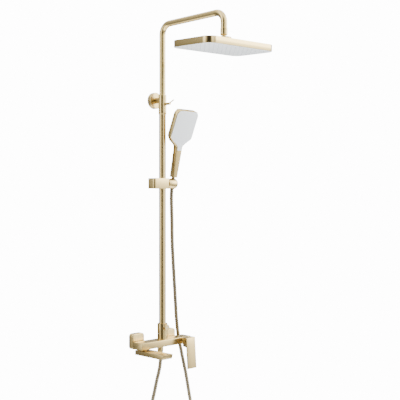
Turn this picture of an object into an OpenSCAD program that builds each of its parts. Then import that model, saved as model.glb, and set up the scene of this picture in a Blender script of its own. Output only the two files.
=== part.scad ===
// Rainfall shower column for a wall: bar mixer, telescopic riser, overhead head and handset.
// Origin: midway between the two wall inlets, on the finished wall (y = 0).
// The room is at -Y, the user's right at +X, and +Z is up. Millimetres.

/* [Mixer] */
// Distance between the hot and the cold inlet
inlet_gap = 150; // [140:1:160]
// Length of the bar
bar_len = 236; // [226:1:300]
// Front-to-back size of the bar
bar_d = 48; // [46:1:56]
// Height of the bar
bar_h = 24; // [23:0.5:30]
// Gap between the wall and the back of the bar
bar_out = 24; // [22:1:32]
// Height of the bar's top above the inlet centres
bar_top = 1; // [-1:0.5:3]
// Side of a square wall escutcheon
escutcheon_w = 55; // [53:1:64]
// Depth of a wall escutcheon
escutcheon_d = 20; // [18:0.5:21]

/* [Lever] */
// Width of the lever plate
lever_w = 43; // [36:1:50]
// Length of the lever from its top edge
lever_len = 110; // [90:1:140]
// Thickness of the lever plate
lever_t = 5; // [4:0.5:8]
// Radius of the domed cap behind the lever
cap_r = 15; // [14.5:0.5:16]

/* [Spout] */
// Width of the bath spout
spout_w = 46; // [40:1:56]
// Length of the bath spout
spout_len = 145; // [130:1:220]
// Thickness of the bath spout
spout_t = 16; // [14:1:22]

/* [Riser] */
// How far the riser stands right of the inlets' midpoint
riser_x = 13; // [8:1:20]
// Outside diameter of the lower riser tube
lower_d = 25; // [24:0.5:28]
// Outside diameter of the upper tube and the arm
upper_d = 22; // [20:0.5:22]
// Wall of both tubes
tube_wall = 1.2; // [1:0.1:1.2]
// Height of the telescopic sleeve's top
sleeve_top = 870; // [800:5:1000]
// Length of the telescopic sleeve
sleeve_len = 68; // [60:1:90]
// Height of the arm's axis
arm_z = 1120; // [1060:5:1300]
// Reach of the arm from the riser to the head
arm_reach = 300; // [250:5:400]
// Bend radius of the arm
bend_r = 36; // [32:1:50]
// Diameter of the wall rose
rose_d = 58; // [50:1:70]

/* [Overhead head] */
// Side-to-side size of the head
head_w = 320; // [250:5:360]
// Front-to-back size of the head
head_d = 180; // [150:5:260]
// Height of the head's rim
head_h = 22; // [18:1:28]
// Corner radius of the head
head_r = 32; // [20:1:40]
// Tilt of the head towards the front and towards the left, as it hangs
head_tilt = 2; // [0:0.5:4]

/* [Slider and handset] */
// Height of the slider's middle
slider_z = 555; // [450:5:650]
// Length of the slider block
slider_len = 75; // [70:1:90]
// Height of the slider block
slider_h = 37; // [34:1:42]
// Lean of the handset in its holder
cradle_lean = 11.5; // [4:0.5:14]
// Width of the handset's face
face_w = 104; // [84:1:116]
// Length of the handset's face
face_len = 112; // [90:1:130]
// Length of the handset's handle
handle_len = 96; // [80:1:130]
// Width of the handle
handle_w = 21; // [19:0.5:26]
// Outside diameter of the hose
hose_d = 14; // [12:0.5:16]

/* [Hidden] */
$fn = 64;
run_gap = 0.05;
body_gap = 0.3;
metal = [0.78, 0.69, 0.50];
metal_dark = [0.55, 0.46, 0.32];
brass = [0.72, 0.58, 0.30];
white = [0.90, 0.92, 0.93];
seal = [0.15, 0.15, 0.16];
resin = [0.80, 0.80, 0.78];
steel = [0.70, 0.71, 0.72];

// places worked out from the sizes above
riser_out = bar_out + bar_d / 2;
bar_x0 = riser_x - bar_len / 2;
bar_x1 = riser_x + bar_len / 2;
bar_bottom = bar_top - bar_h;
bar_mid = bar_top - bar_h / 2;
inlet_x = inlet_gap / 2;
thread_r = 10.48;
thread_len = 15;
union_drop = -bar_mid;
nut_flats = 24;

lower_r = lower_d / 2;
lower_bore = lower_r - tube_wall;
upper_r = upper_d / 2;
upper_bore = upper_r - tube_wall;
housing_r = lower_r + 5.5;
housing_top = bar_top + 56;
knob_r = 11;
knob_t = 7;
knob_z = housing_top - knob_r - 2;
spool_r = 5;
spool_wall = 1.8;
tube_seat = knob_z + spool_r + spool_wall + 0.8;
sleeve_r = lower_r + 1.5;
sleeve_bottom = sleeve_top - sleeve_len;
lower_end = sleeve_top - 12;
guide_z = lower_end - 180;
rose_z = sleeve_top - 17;
rose_t = 16;
stem_r = 10;
lock_z = sleeve_bottom + 35;
arm_y = -riser_out - arm_reach;

cartridge_r = 12.5;
bar_front = -bar_out - bar_d;
pivot_y = bar_front - 6;
pivot_z = bar_mid - 0.5;
lever_x = bar_x1 - 31;
dome_gap = 0.4;
hot_way_y = -riser_out + 8;
cold_way_y = -bar_out - 7.5;
mixed_way_y = -riser_out - 14;

spout_x = -inlet_x;
spout_top = bar_bottom - 4.5;
spout_low = spout_top - spout_t;
spout_back = -bar_out - 3;
post_r = 7;
outlet_x = riser_x - 10;
outlet_end = bar_bottom - 29;

stub_top = arm_z - bend_r - 20;
stub_r = 12;
ball_r = 9;
seat_r = 12;
ball_z = stub_top - 40;
flange_r = seat_r + 12.5;
head_top = ball_z - 9;
plate_t = 3;
shell_t = 1.6;

slider_y = -riser_out;
slider_x1 = riser_x + lower_r + 7.5;
slider_x0 = slider_x1 - slider_len;
slider_d = lower_d + 13;
bush_r = lower_r + 1.6;
bush_half = slider_h / 2 - 3.5;
cup_r = slider_h / 2 - 0.6;
cup_x0 = slider_x1 + 0.5;
cone_x = slider_x1 + 29;
cup_x1 = cone_x + 16;
cup_end_r = 10;
cone_mid_r = hose_d / 2 + 2.5;
cone_slope = 0.05;
nut_half = slider_h / 2 - 0.5;
hose_bore = hose_d / 2 + 0.6;
neck_r = 6;
handle_z = nut_half + 6;
handle_end = handle_z + handle_len;
face_y = -handle_w / 2 - 1;
face_z = handle_end + 38;
face_lean = 12;
face_t = 21;
waterway_y = face_y / 2 + 1.8;
tail_half = 9.5;
shoulder_low = -26;
shoulder_high = 14;

// The hose, from the nut under the bar, down round a hanging loop and up to the holder
hose_route = [
    [3, -48, -52], [3, -48, -78], [-2, -48, -105], [-14, -48, -142], [-25, -48, -180],
    [-35, -47, -216], [-43, -47, -255], [-47, -46, -295], [-45, -46, -335], [-34, -45, -376],
    [-12, -45, -408], [20, -44, -429], [58, -44, -436], [96, -43, -429], [128, -43, -408],
    [150, -43, -376], [161, -43, -335], [162, -43, -295], [159, -43, -255], [153, -40, -215],
    [143, -34, -145], [137, -27, -100], [132, -21, -62], [127, -16, -25], [121, -13, 15],
    [113, -14, 70], [102, -20, 140], [89, -28, 210], [77, -35, 280], [68, -40, 350],
    [64, -43, 420], [62, -43, 480], [62, -43, 516], [62, -45, 540]];
hose_sides = 12;
hose_steps = 2;

// a cylinder along Y between two places
module rod_y(r, y0, y1, x = 0, z = 0) {
    translate([x, max(y0, y1), z]) rotate([90, 0, 0]) cylinder(r = r, h = abs(y1 - y0));
}

// a cylinder along X between two places
module rod_x(r, x0, x1, y = 0, z = 0) {
    translate([min(x0, x1), y, z]) rotate([0, 90, 0]) cylinder(r = r, h = abs(x1 - x0));
}

// a cylinder along Z between two places
module rod_z(r, z0, z1, x = 0, y = 0) {
    translate([x, y, min(z0, z1)]) cylinder(r = r, h = abs(z1 - z0));
}

module ring_z(r_out, r_in, z0, z1, x = 0, y = 0) {
    difference() {
        rod_z(r_out, z0, z1, x, y);
        rod_z(r_in, min(z0, z1) - 1, max(z0, z1) + 1, x, y);
    }
}

module ring_y(r_out, r_in, y0, y1, x = 0, z = 0) {
    difference() {
        rod_y(r_out, y0, y1, x, z);
        rod_y(r_in, y0 + 1, y1 - 1, x, z);
    }
}

function arc(cx, cy, r, a0, a1, n = 8) =
    [for (k = [0:n]) let (a = a0 + (a1 - a0) * k / n) [cx + r * cos(a), cy + r * sin(a)]];

// outline of a w by d rectangle with round corners, about its middle
function round_rect(w, d, r, n = 8) = concat(
    arc(w / 2 - r, d / 2 - r, r, 0, 90, n), arc(-w / 2 + r, d / 2 - r, r, 90, 180, n),
    arc(-w / 2 + r, -d / 2 + r, r, 180, 270, n), arc(w / 2 - r, -d / 2 + r, r, 270, 360, n));

module slab(w, d, h, r) { linear_extrude(h) polygon(round_rect(w, d, r)); }

// a side view, given as [y, z] points, made w wide about x
module side_cut(points, w, x) {
    translate([x - w / 2, 0, 0]) rotate([90, 0, 90]) linear_extrude(w) polygon(points);
}

// Mixer

module mixer_body() color(metal) difference() {
    union() {
        translate([bar_x0, -bar_out - bar_d / 2, bar_mid]) rotate([90, 0, 90])
            slab(bar_d, bar_h, bar_len, 2);
        rod_y(cap_r, bar_front + 14, bar_front - 4, lever_x, pivot_z);
        for (x = [-inlet_x, inlet_x]) rod_y(thread_r - 0.2, -16.6, -bar_out - 1, x, bar_mid);
    }
    // hot way, cold way and the way for mixed water
    for (x = [-inlet_x, inlet_x]) rod_y(5, -15, cold_way_y, x, bar_mid);
    rod_y(3.5, cold_way_y, hot_way_y, -inlet_x, bar_mid);
    rod_x(3.5, -inlet_x, lever_x - 4, hot_way_y, bar_mid);
    rod_y(2.6, hot_way_y, pivot_y + 33, lever_x - 5, bar_mid);
    rod_x(3.5, inlet_x, lever_x + 6, cold_way_y, bar_mid);
    rod_y(2.6, cold_way_y, pivot_y + 33, lever_x + 5, bar_mid);
    rod_x(4, spout_x, lever_x, mixed_way_y, bar_mid);
    for (x = [spout_x, riser_x]) rod_y(3.5, -riser_out, mixed_way_y, x, bar_mid);
    // cartridge chamber
    rod_y(cartridge_r + run_gap, pivot_y + 34, pivot_y - 10, lever_x, pivot_z);
    // sockets for the riser, the hose outlet and the spout
    rod_z(9.5, bar_top - 8, bar_top + 1, riser_x, -riser_out);
    rod_z(3.5, bar_mid, bar_top, riser_x, -riser_out);
    for (x = [outlet_x, spout_x]) {
        rod_z(8.5, bar_bottom - 1, bar_bottom + 8, x, -riser_out);
        rod_z(4, bar_bottom, bar_mid, x, -riser_out);
    }
}

// offset union: the wall thread at the inlet's height, the outlet at the bar's height
module s_union(x) color(brass) difference() {
    union() {
        rod_y(thread_r, thread_len, -3, x, 0);
        translate([x, -3, bar_mid / 2]) rotate([90, 0, 0]) slab(25, 25 + union_drop, 6, 12.4);
        rod_y(8.4, -8, -12.6, x, bar_mid);
        rod_y(10.1, -12.6, -14.6, x, bar_mid);
    }
    rod_y(7, thread_len + 1, -7, x, 0);
    rod_y(6, -5, -15, x, bar_mid);
}

module hot_union() s_union(-inlet_x);
module cold_union() s_union(inlet_x);

module union_nut(x) color(brass) difference() {
    translate([x, -11, bar_mid]) rotate([90, 30, 0])
        cylinder(r = nut_flats / 2 / cos(30), h = 10, $fn = 6);
    rod_y(8.5, -10, -13, x, bar_mid);
    rod_y(thread_r - 0.15, -12.5, -22, x, bar_mid);
}

module hot_union_nut() union_nut(-inlet_x);
module cold_union_nut() union_nut(inlet_x);

module union_washers() color(seal)
    for (x = [-inlet_x, inlet_x]) ring_y(10, 6, -14.6, -16.6, x, bar_mid);

module escutcheon(x) color(metal) difference() {
    translate([x, 0, 0]) rotate([90, 0, 0]) slab(escutcheon_w, escutcheon_w, escutcheon_d, 11);
    translate([x, 1, 0]) rotate([90, 0, 0])
        slab(escutcheon_w - 3, escutcheon_w - 3, escutcheon_d - 0.5, 9.5);
    rod_y(14.4, 1, -escutcheon_d - 1, x, bar_mid);
}

module hot_escutcheon() escutcheon(-inlet_x);
module cold_escutcheon() escutcheon(inlet_x);

module cartridge() color(resin) difference() {
    union() {
        rod_y(cartridge_r - 0.1, pivot_y + 33, pivot_y + 8, lever_x, pivot_z);
        rod_y(9.5, pivot_y + 8, pivot_y + 4, lever_x, pivot_z);
    }
    // ports at the back, and the well that the stem turns in
    for (p = [[-5, 0], [5, 0], [0, 6.5]])
        rod_y(2.6, pivot_y + 34, pivot_y + 22, lever_x + p[0], pivot_z + p[1]);
    rod_y(7, pivot_y + 18, pivot_y + 3, lever_x, pivot_z);
}

// round cap that holds the cartridge, domed about the lever's pivot
module cartridge_cap() color(metal) difference() {
    union() {
        rod_y(cap_r, bar_front - 4, pivot_y, lever_x, pivot_z);
        rod_y(cartridge_r - 0.1, bar_front + 1, pivot_y, lever_x, pivot_z);
        intersection() {
            translate([lever_x, pivot_y, pivot_z]) sphere(r = cap_r);
            rod_y(cap_r + 1, pivot_y, pivot_y - cap_r - 1, lever_x, pivot_z);
        }
    }
    rod_y(10, bar_front + 2, pivot_y - cap_r - 1, lever_x, pivot_z);
}

// the stem turns with the lever and carries its pivot
module cartridge_stem() color(steel) difference() {
    rod_y(6.6, pivot_y + 17, pivot_y - 4, lever_x, pivot_z);
    translate([lever_x - 3.3, pivot_y - 5, pivot_z - 8]) cube([6.6, 13, 16]);
    rod_x(1.5 + run_gap, lever_x - 8, lever_x + 8, pivot_y, pivot_z);
}

module mixer_lever() color(metal) {
    back = pivot_y - 6;
    front = pivot_y - 26;
    top = pivot_z + 13.5;
    low = pivot_z + 13.5 - lever_len;
    lean = 8;
    difference() {
        side_cut([[back, top], [front + 1.5, top], [front, top - 1.5],
            [front - lean, low + 1], [front - lean + 1, low],
            [front - lean + lever_t, low], [front + lever_t - 2, pivot_z - 22],
            [back, pivot_z - 19]], lever_w, lever_x);
        translate([lever_x, pivot_y, pivot_z]) sphere(r = cap_r + dome_gap);
        rod_z(2, pivot_z - 23, pivot_z - 8, lever_x, pivot_y - 19);
    }
    difference() {
        translate([lever_x - 3, pivot_y - 20, pivot_z - 2.5]) cube([6, 22.5, 5]);
        rod_z(2, pivot_z - 23, pivot_z - 1, lever_x, pivot_y - 19);
    }
    rod_x(1.5, lever_x - 6.4, lever_x + 6.4, pivot_y, pivot_z);
}

module lever_grub_screw() color(steel)
    rod_z(1.95, pivot_z - 20, pivot_z - 9, lever_x, pivot_y - 19);

// Spout

module spout_post() color(brass) difference() {
    union() {
        rod_z(8.4, bar_bottom + 7.5, bar_bottom, spout_x, -riser_out);
        rod_z(11, bar_bottom, spout_top + body_gap, spout_x, -riser_out);
        rod_z(post_r, bar_bottom, spout_low + 4, spout_x, -riser_out);
        rod_z(9.4, spout_low + 3.4, spout_low + 1, spout_x, -riser_out);
    }
    rod_z(3.5, bar_bottom + 8, spout_low + 6, spout_x, -riser_out);
    rod_y(2.5, -riser_out + 10, -riser_out - 10, spout_x, spout_top - spout_t / 2 + 1);
    for (z = o_ring_z) ring_z(post_r + 1, post_r - 1.4, z, z + 1.6, spout_x, -riser_out);
}

o_ring_z = [spout_top - 3.6, spout_low + 5.2];
module spout_o_rings() color(seal)
    for (z = o_ring_z) ring_z(post_r + 0.03, post_r - 1.4, z, z + 1.6, spout_x, -riser_out);

module spout() color(metal) {
    front = spout_back - spout_len;
    aerator_y = front + 17;
    difference() {
        side_cut([[spout_back, spout_top], [front + 0.8, spout_top], [front, spout_top - 0.8],
            [front + 5, spout_low], [spout_back, spout_low]], spout_w, spout_x);
        rod_z(post_r + run_gap, spout_top + 1, spout_low, spout_x, -riser_out);
        rod_z(10, spout_low + 3.8, spout_low - 1, spout_x, -riser_out);
        rod_z(9.1, spout_low + 9, spout_low - 1, spout_x, aerator_y);
        rod_y(4, -riser_out, aerator_y, spout_x, spout_top - spout_t / 2 + 1);
    }
}

module aerator() color(metal_dark) difference() {
    y = spout_back - spout_len + 17;
    rod_z(9, spout_low + 8, spout_low - 0.6, spout_x, y);
    for (ring = [[0, 1], [3, 6], [6, 12]], k = [1:ring[1]])
        rod_z(0.9, spout_low + 9, spout_low - 1, spout_x + ring[0] * cos(360 * k / ring[1]),
            y + ring[0] * sin(360 * k / ring[1]));
}

// Hose outlet under the bar

module hose_outlet() color(brass) difference() {
    union() {
        rod_z(8.4, bar_bottom + 7.5, bar_bottom, outlet_x, -riser_out);
        rod_z(10.3, bar_bottom, bar_bottom - 2, outlet_x, -riser_out);
        rod_z(8.2, bar_bottom, bar_bottom - 12, outlet_x, -riser_out);
    }
    rod_z(5, bar_bottom + 8, bar_bottom - 13, outlet_x, -riser_out);
}

module check_valve() color(resin) difference() {
    rod_z(4.9, bar_bottom - 1, bar_bottom - 11, outlet_x, -riser_out);
    rod_z(3.6, bar_bottom, bar_bottom - 7, outlet_x, -riser_out);
    for (a = [0, 90, 180, 270])
        rod_z(1, bar_bottom - 6, bar_bottom - 12, outlet_x + 2 * cos(a), -riser_out + 2 * sin(a));
}

module hose_washer() color(seal)
    ring_z(8.2, 4.5, bar_bottom - 12, bar_bottom - 14, outlet_x, -riser_out);

module hose_nut() color(metal) difference() {
    translate([outlet_x, -riser_out, outlet_end]) rotate_extrude()
        polygon([[0, 0], [hose_d / 2 + 0.8, 0], [10.6, 15], [10.6, 25.8], [10, 26.4], [0, 26.4]]);
    rod_z(8.25, bar_bottom - 14, bar_bottom, outlet_x, -riser_out);
    rod_z(5, outlet_end - 1, bar_bottom, outlet_x, -riser_out);
}

// Diverter at the foot of the riser

module diverter_housing() color(metal) difference() {
    union() {
        rod_z(housing_r, bar_top, housing_top, riser_x, -riser_out);
        rod_z(9.4, bar_top - 7.5, bar_top + 1, riser_x, -riser_out);
        rod_y(knob_r - 0.6, -riser_out - 8, -riser_out - housing_r - 0.5, riser_x, knob_z);
    }
    rod_z(4.5, bar_top - 8, knob_z, riser_x, -riser_out);
    rod_z(4.5, knob_z, tube_seat + 1, riser_x, -riser_out);
    rod_z(lower_r + run_gap, tube_seat, housing_top + 1, riser_x, -riser_out);
    rod_y(spool_r + spool_wall + run_gap, -riser_out + 9, -riser_out - housing_r - 1,
        riser_x, knob_z);
}

module diverter_sleeve() color(resin) difference() {
    rod_y(spool_r + spool_wall, -riser_out + 8.5, -riser_out - housing_r, riser_x, knob_z);
    rod_y(spool_r + run_gap, -riser_out + 9, -riser_out - housing_r + 2, riser_x, knob_z);
    rod_y(3 + run_gap, -riser_out, -riser_out - housing_r - 1, riser_x, knob_z);
    rod_z(3.4, knob_z - 10, knob_z + 10, riser_x, -riser_out);
}

module diverter_spindle() color(steel) difference() {
    union() {
        rod_y(spool_r, -riser_out + 8, -riser_out - housing_r + 2.4, riser_x, knob_z);
        rod_y(3, -riser_out, -riser_out - housing_r + 1.9 - knob_t, riser_x, knob_z);
    }
    rod_z(3.2, knob_z - 10, knob_z + 10, riser_x, -riser_out);
    rod_y(1.4, -riser_out - housing_r - 0.9, -riser_out - housing_r - knob_t, riser_x, knob_z);
}

module diverter_knob() color(metal) {
    back = -riser_out - housing_r - 0.9;
    difference() {
        translate([riser_x, back, knob_z]) rotate([90, 0, 0]) rotate_extrude()
            polygon([[0, 0], [knob_r, 0], [knob_r, knob_t - 0.8], [knob_r - 0.8, knob_t], [0, knob_t]]);
        rod_y(3.02, back + 1, back - knob_t + 2.8, riser_x, knob_z);
        rod_y(1.5, back, back - knob_t - 1, riser_x, knob_z);
        rod_y(2.7, back - knob_t + 1.6, back - knob_t - 1, riser_x, knob_z);
    }
}

module diverter_knob_screw() color(steel) {
    back = -riser_out - housing_r - 0.9;
    difference() {
        union() {
            rod_y(1.35, back - 1, back - knob_t + 1.4, riser_x, knob_z);
            rod_y(2.6, back - knob_t + 1.6, back - knob_t + 0.1, riser_x, knob_z);
        }
        translate([riser_x, back - knob_t + 1, knob_z]) rotate([90, 0, 0])
            cylinder(r = 1.2, h = 2, $fn = 6);
    }
}

// Riser

module lower_tube() color(metal)
    ring_z(lower_r, lower_bore, tube_seat, lower_end, riser_x, -riser_out);

module riser_sleeve() color(metal) difference() {
    union() {
        translate([riser_x, -riser_out, sleeve_bottom]) rotate_extrude()
            polygon([[0, 0], [sleeve_r - 0.6, 0], [sleeve_r, 0.8], [sleeve_r, sleeve_len - 0.8],
                [sleeve_r - 0.6, sleeve_len], [0, sleeve_len]]);
        rod_y(6, -riser_out - sleeve_r + 4, -riser_out - sleeve_r - 2, riser_x, lock_z);
    }
    rod_z(lower_r + run_gap, sleeve_bottom - 1, lower_end, riser_x, -riser_out);
    rod_z(upper_r + body_gap, lower_end - 1, sleeve_top + 1, riser_x, -riser_out);
    for (z = seal_z) rod_z(upper_r + 1.6, z, z + 2.2, riser_x, -riser_out);
    rod_y(2.8 + run_gap, -riser_out - lower_r + 2, -riser_out - sleeve_r - 3, riser_x, lock_z);
}

seal_z = [lower_end + 2.5, lower_end + 7];
module riser_seals() color(seal)
    for (z = seal_z) ring_z(upper_r + 1.6, upper_r + run_gap, z, z + 2.2, riser_x, -riser_out);

module rose_plate() color(steel) difference() {
    union() {
        rod_y(22, 0, -4, riser_x, rose_z);
        rod_y(stem_r - 1.6, -4, -16, riser_x, rose_z);
    }
    for (z = screw_z) rod_y(2.7, 1, -5, riser_x, z);
    rod_z(2, rose_z - 12, rose_z, riser_x, -11);
}

screw_z = [rose_z - 16, rose_z + 16];
module wall_screws() color(steel) for (z = screw_z) difference() {
    union() {
        rod_y(2.5, 20, 0.3, riser_x, z);
        rod_y(2.3, 0.4, -4.4, riser_x, z);
        rod_y(4.4, -4, -6.2, riser_x, z);
    }
    for (a = [0, 90]) translate([riser_x, -6, z]) rotate([0, a, 0])
        cube([4.5, 1.4, 0.9], center = true);
}

module wall_rose() color(metal) difference() {
    translate([riser_x, 0, rose_z]) rotate([90, 0, 0]) rotate_extrude()
        polygon(concat([[0, 0], [rose_d / 2, 0]], arc(rose_d / 2 - 2, rose_t - 2, 2, 0, 90),
            [[0, rose_t]]));
    rod_y(rose_d / 2 - 1.6, 1, -rose_t + 1.6, riser_x, rose_z);
    rod_y(stem_r + run_gap, 0, -rose_t - 1, riser_x, rose_z);
}

module rose_stem() color(metal) difference() {
    rod_y(stem_r, -7.5, -riser_out + 4, riser_x, rose_z);
    rod_y(stem_r - 1.6 + run_gap, -6, -17, riser_x, rose_z);
    rod_z(sleeve_r, rose_z - 20, rose_z + 20, riser_x, -riser_out);
    rod_z(2, rose_z - 12, rose_z, riser_x, -11);
}

module stem_grub_screw() color(steel) rod_z(1.95, rose_z - 9.9, rose_z - 5, riser_x, -11);

// knob with an upturned tip that locks the telescopic tube
module lock_lever() color(metal) {
    back = -riser_out - sleeve_r - 2.3;
    rod_y(2.8, -riser_out - lower_r - body_gap, back - 2, riser_x, lock_z);
    rod_y(4.6, back, back - 24, riser_x, lock_z);
    translate([riser_x, back - 20, lock_z + 1.5]) rotate([90 - 24, 0, 0])
        cylinder(r = 2.2, h = 25);
}

// plug that guides the foot of the upper tube, which can turn on it
module guide_bush() color(resin) difference() {
    union() {
        rod_z(lower_bore - run_gap, guide_z - 10, guide_z - body_gap, riser_x, -riser_out);
        rod_z(upper_bore - run_gap, guide_z - 1, guide_z + 16, riser_x, -riser_out);
    }
    rod_z(upper_bore - 2.5, guide_z - 11, guide_z + 17, riser_x, -riser_out);
}

module tube_run(r, below, above) {
    rod_z(r, guide_z - below, arm_z - bend_r, riser_x, -riser_out);
    translate([riser_x, -riser_out - bend_r, arm_z - bend_r]) rotate([90, 0, 90])
        rotate_extrude(angle = 90) translate([bend_r, 0]) circle(r = r);
    rod_y(r, -riser_out - bend_r, arm_y + bend_r, riser_x, arm_z);
    translate([riser_x, arm_y + bend_r, arm_z - bend_r]) rotate([90, 0, 90]) rotate([0, 0, 90])
        rotate_extrude(angle = 90) translate([bend_r, 0]) circle(r = r);
    rod_z(r, arm_z - bend_r, stub_top - above, riser_x, arm_y);
}

module upper_tube() color(metal) difference() {
    tube_run(upper_r, 0, 9);
    tube_run(upper_bore, 1, 10);
}

// Overhead head

module ball_stub() color(metal) difference() {
    union() {
        translate([riser_x, arm_y, ball_z]) rotate_extrude() polygon(concat(
            [[0, ball_r + 1], [6, ball_r + 1], [6, 15], [10, 16], [stub_r, 18], [stub_r, 34],
            [stub_r - 0.7, 34.6], [stub_r - 0.7, 35.4], [stub_r, 36], [stub_r, 39.2],
            [stub_r - 0.8, 40], [0, 40]]));
        rod_z(6, ball_z, ball_z + 14, riser_x, arm_y);
        translate([riser_x, arm_y, ball_z]) sphere(r = ball_r);
    }
    rod_z(upper_r + run_gap, stub_top - 9.2, stub_top + 1, riser_x, arm_y);
    rod_z(upper_bore - 1, stub_top - 12, stub_top, riser_x, arm_y);
    rod_z(3.5, ball_z - 10, stub_top, riser_x, arm_y);
}

module stub_washer() color(seal)
    ring_z(upper_bore - 1.2, 4, stub_top - 11.8, stub_top - 10, riser_x, arm_y);

// the head hangs a little tilted on its ball
module on_ball() translate([riser_x, arm_y, ball_z]) rotate([head_tilt, -head_tilt, 0]) children();

// split ring between the ball and the socket
module ball_seat() color(resin) on_ball() difference() {
    intersection() {
        sphere(r = seat_r);
        rod_z(seat_r + 1, -7, 4);
    }
    sphere(r = ball_r + run_gap);
    rod_z(6.5, -10, 0);
}

module head_flange() color(metal) on_ball() difference() {
    rotate_extrude() polygon([[0, -2], [flange_r, -2], [flange_r, 9.2], [flange_r - 0.8, 10], [0, 10]]);
    sphere(r = seat_r + run_gap);
    rod_z(9.6, 6, 11);
    rod_z(16.05, -3, 0);
}

module head_shell() color(metal) on_ball() difference() {
    union() {
        translate([0, 0, -9 - head_h]) slab(head_w, head_d, head_h, head_r);
        rod_z(20, -10, -2);
        rod_z(16, -10, 0);
    }
    translate([0, 0, -10 - head_h])
        slab(head_w - 2 * shell_t, head_d - 2 * shell_t, head_h - 0.4, head_r - shell_t);
    sphere(r = seat_r + run_gap);
    rod_z(6, -20, -5);
}

module head_face_plate() color(white) on_ball() difference() {
    translate([0, 0, -10 - head_h])
        slab(head_w - 2 * shell_t - 0.2, head_d - 2 * shell_t - 0.2, plate_t, head_r - shell_t);
    for (p = head_holes) rod_z(1.8, -12 - head_h, 0, p[0], p[1]);
}

module head_nozzle_mat() color([0.82, 0.86, 0.90]) on_ball() {
    translate([0, 0, -10 - head_h + plate_t]) slab(head_w - 16, head_d - 16, 2, head_r - 8);
    for (p = head_holes) translate([p[0], p[1], -11.4 - head_h])
        cylinder(r = 1.7, h = plate_t + 1.6, $fn = 16);
}

head_pitch = [20, 20];
head_rows = [floor((head_w - 40) / head_pitch[0]), floor((head_d - 40) / head_pitch[1])];
head_holes = [for (i = [0:head_rows[0]], j = [0:head_rows[1]])
    [(i - head_rows[0] / 2) * head_pitch[0], (j - head_rows[1] / 2) * head_pitch[1]]];

module head_gasket() color(seal) on_ball() difference() {
    translate([0, 0, -10 - head_h + plate_t])
        slab(head_w - 2 * shell_t - 0.4, head_d - 2 * shell_t - 0.4, 3, head_r - shell_t);
    translate([0, 0, -11 - head_h + plate_t]) slab(head_w - 15, head_d - 15, 5, head_r - 7.5);
}

// Slider and cradle

module slider_block() color(metal) difference() {
    translate([(slider_x0 + slider_x1) / 2, slider_y, slider_z - slider_h / 2]) {
        translate([0, 0, 1]) slab(slider_len, slider_d, slider_h - 2, 9);
        slab(slider_len - 2, slider_d - 2, slider_h, 8);
    }
    rod_z(bush_r, slider_z - bush_half, slider_z + bush_half, riser_x, slider_y);
    rod_z(lower_r + body_gap, slider_z - 30, slider_z + 30, riser_x, slider_y);
    rod_y(3, slider_y + slider_d, slider_y + lower_r, riser_x, slider_z);
    rod_x(12.1, slider_x1 - 1.5, slider_x1 + 1, slider_y, slider_z);
    rod_x(2.9, slider_x1 - 5.6, slider_x1 + 1, slider_y, slider_z);
}

module slider_bush() color(resin)
    ring_z(bush_r, lower_r + run_gap, slider_z - bush_half, slider_z + bush_half, riser_x, slider_y);

module slider_screw() color(steel) difference() {
    rod_y(2.95, slider_y + slider_d / 2 - 0.5, slider_y + bush_r + 0.1, riser_x, slider_z);
    translate([riser_x, slider_y + slider_d / 2, slider_z]) rotate([90, 0, 0])
        cylinder(r = 1.5, h = 2.5, $fn = 6);
}

module cradle_bolt() color(steel) difference() {
    union() {
        rod_x(2.85, slider_x1 - 5.5, slider_x1 + 0.5, slider_y, slider_z);
        rod_x(3, slider_x1 + 0.2, cup_x0 + 7.5, slider_y, slider_z);
        rod_x(5, cup_x0 + 7.3, cup_x0 + 11, slider_y, slider_z);
    }
    translate([cup_x0 + 9, slider_y, slider_z]) rotate([0, 90, 0])
        cylinder(r = 2, h = 3, $fn = 6);
}

module cradle_washer() color(seal) difference() {
    rod_x(12, slider_x1 - 1.5, slider_x1 + 0.2, slider_y, slider_z);
    rod_x(3.1, slider_x1 - 2, slider_x1 + 1, slider_y, slider_z);
}

// everything in the cradle leans with it, about the cradle's own axis
module in_cradle() translate([cone_x, slider_y, slider_z]) rotate([cradle_lean, 0, 0]) children();

module cradle() color(metal) difference() {
    translate([cup_x0, slider_y, slider_z]) rotate([0, 90, 0]) rotate_extrude()
        polygon(concat([[0, 0], [cup_r, 0]],
            arc(cup_r - cup_end_r, cup_x1 - cup_x0 - cup_end_r, cup_end_r, 0, 90, 12),
            [[0, cup_x1 - cup_x0]]));
    rod_x(3 + run_gap, cup_x0 - 1, cup_x0 + 8, slider_y, slider_z);
    rod_x(5.3, cup_x0 + 7, cone_x, slider_y, slider_z);
    in_cradle() translate([0, 0, -30]) cylinder(r1 = cone_mid_r + body_gap - 30 * cone_slope,
        r2 = cone_mid_r + body_gap + 30 * cone_slope, h = 60);
}

// Handset

module hose_cone_nut() color(metal_dark) in_cradle() difference() {
    translate([0, 0, -nut_half]) cylinder(r1 = cone_mid_r - nut_half * cone_slope,
        r2 = cone_mid_r + nut_half * cone_slope, h = 2 * nut_half);
    rod_z(hose_bore, -nut_half - 1, 4);
    rod_z(neck_r + 0.1, 3, nut_half + 1);
}

module handset_washer() color(seal) in_cradle() ring_z(neck_r - 0.1, 3.5, 4, 6);

module handset_connector() color(metal_dark) in_cradle() difference() {
    union() {
        rod_z(neck_r, 6, handle_z + 4);
        rod_z(7.5, handle_z, handle_z + 4);
    }
    rod_z(4, 5, handle_z + 5);
}

module at_face() translate([0, face_y, face_z]) rotate([face_lean, 0, 0]) children();

module face_slab(w, l, t, r, y) translate([0, y + t, face_len / 2]) rotate([90, 0, 0]) slab(w, l, t, r);

// half the width of the paddle shape at a height l above the face's foot
function paddle_half(l, half, tail) = tail + (half - tail)
    * (1 - cos(180 * min(max((l - shoulder_low) / (shoulder_high - shoulder_low), 0), 1))) / 2;

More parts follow.
